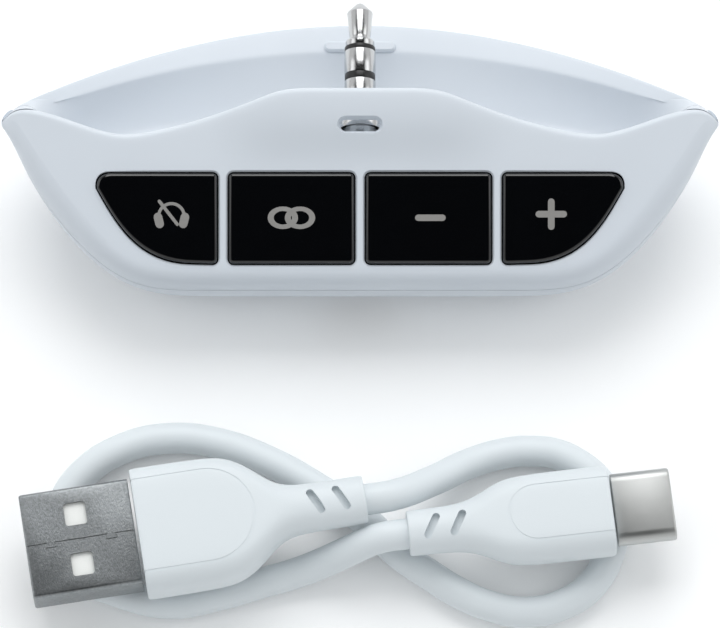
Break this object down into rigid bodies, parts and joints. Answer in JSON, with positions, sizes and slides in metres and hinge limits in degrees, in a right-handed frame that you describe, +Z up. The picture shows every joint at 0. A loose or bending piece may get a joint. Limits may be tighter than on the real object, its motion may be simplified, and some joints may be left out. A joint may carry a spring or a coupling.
{
  "type": "wireless audio receiver",
  "caption": "Boat-shaped clip-on wireless audio receiver with a headset plug in its cradle, a row of black keys, and a loose looped charging lead.",
  "frame": {"origin": "on the table, under the middle of the receiver without its lead", "axes": "+X to the right along the key row, +Y the way the headset plug points, +Z up"},
  "size_m": [0.08, 0.0706, 0.0205],
  "materials": {
    "white_shell": "satin white moulding",
    "black_key": "polished black",
    "switch_steel": "pressed cover",
    "dark_plastic": "moulded black",
    "circuit_board": "green solder mask",
    "chip_black": "epoxy package",
    "tinned_steel": "tinned",
    "ceramic": "glazed ceramic",
    "led_lens": "clear resin",
    "cell_foil": "pouch foil",
    "foam_tape": "closed cell foam",
    "red_wire": "soft jacket",
    "black_wire": "soft jacket",
    "plug_metal": "bright nickel plate",
    "flex_film": "polyimide film",
    "white_insulator": "moulded white",
    "white_grip": "satin white moulding",
    "cord_jacket": "smooth white jacket"
  },
  "bodies": {
    "receiver": {"front_shell": "white_shell", "rear_shell": "white_shell", "mute_switch": "switch_steel", "pair_switch": "switch_steel", "minus_switch": "switch_steel", "plus_switch": "switch_steel", "main_board": "circuit_board", "radio_chip": "chip_black", "audio_chip": "chip_black", "power_chip": "chip_black", "shield_can": "tinned_steel", "crystal": "tinned_steel", "antenna": "ceramic", "status_led": "led_lens", "socket_shell": "tinned_steel", "socket_tongue": "dark_plastic", "board_screw_left": "tinned_steel", "board_screw_right": "tinned_steel", "battery_cell": "cell_foil", "battery_pad": "foam_tape", "battery_lead_plus": "red_wire", "battery_lead_minus": "black_wire", "plug_tip": "plug_metal", "plug_ring_front": "plug_metal", "plug_ring_rear": "plug_metal", "plug_sleeve": "plug_metal", "plug_collar": "plug_metal", "plug_band_front": "dark_plastic", "plug_band_middle": "dark_plastic", "plug_band_rear": "dark_plastic", "plug_base": "dark_plastic", "plug_ribbon": "flex_film", "a_plug_shell": "plug_metal", "a_plug_tongue": "white_insulator", "a_plug_grip": "white_grip", "c_plug_shell": "plug_metal", "c_plug_insert": "dark_plastic", "c_plug_grip": "white_grip", "lead_cord": "cord_jacket"},
    "mute_button": {"mute_key": "black_key", "mute_plunger": "dark_plastic"},
    "pair_button": {"pair_key": "black_key", "pair_plunger": "dark_plastic"},
    "minus_button": {"minus_key": "black_key", "minus_plunger": "dark_plastic"},
    "plus_button": {"plus_key": "black_key", "plus_plunger": "dark_plastic"}
  },
  "joints": [
    {"name": "mute_press", "type": "slide", "parent": "receiver", "child": "mute_button", "axis": [0, 0.309, -0.9511], "range_m": [0, 0.0005], "stiffness_N_per_m": 1200, "springref_m": -0.0003},
    {"name": "pair_press", "type": "slide", "parent": "receiver", "child": "pair_button", "axis": [0, 0.309, -0.9511], "range_m": [0, 0.0005], "stiffness_N_per_m": 1200, "springref_m": -0.0003},
    {"name": "minus_press", "type": "slide", "parent": "receiver", "child": "minus_button", "axis": [0, 0.309, -0.9511], "range_m": [0, 0.0005], "stiffness_N_per_m": 1200, "springref_m": -0.0003},
    {"name": "plus_press", "type": "slide", "parent": "receiver", "child": "plus_button", "axis": [0, 0.309, -0.9511], "range_m": [0, 0.0005], "stiffness_N_per_m": 1200, "springref_m": -0.0003}
  ]
}
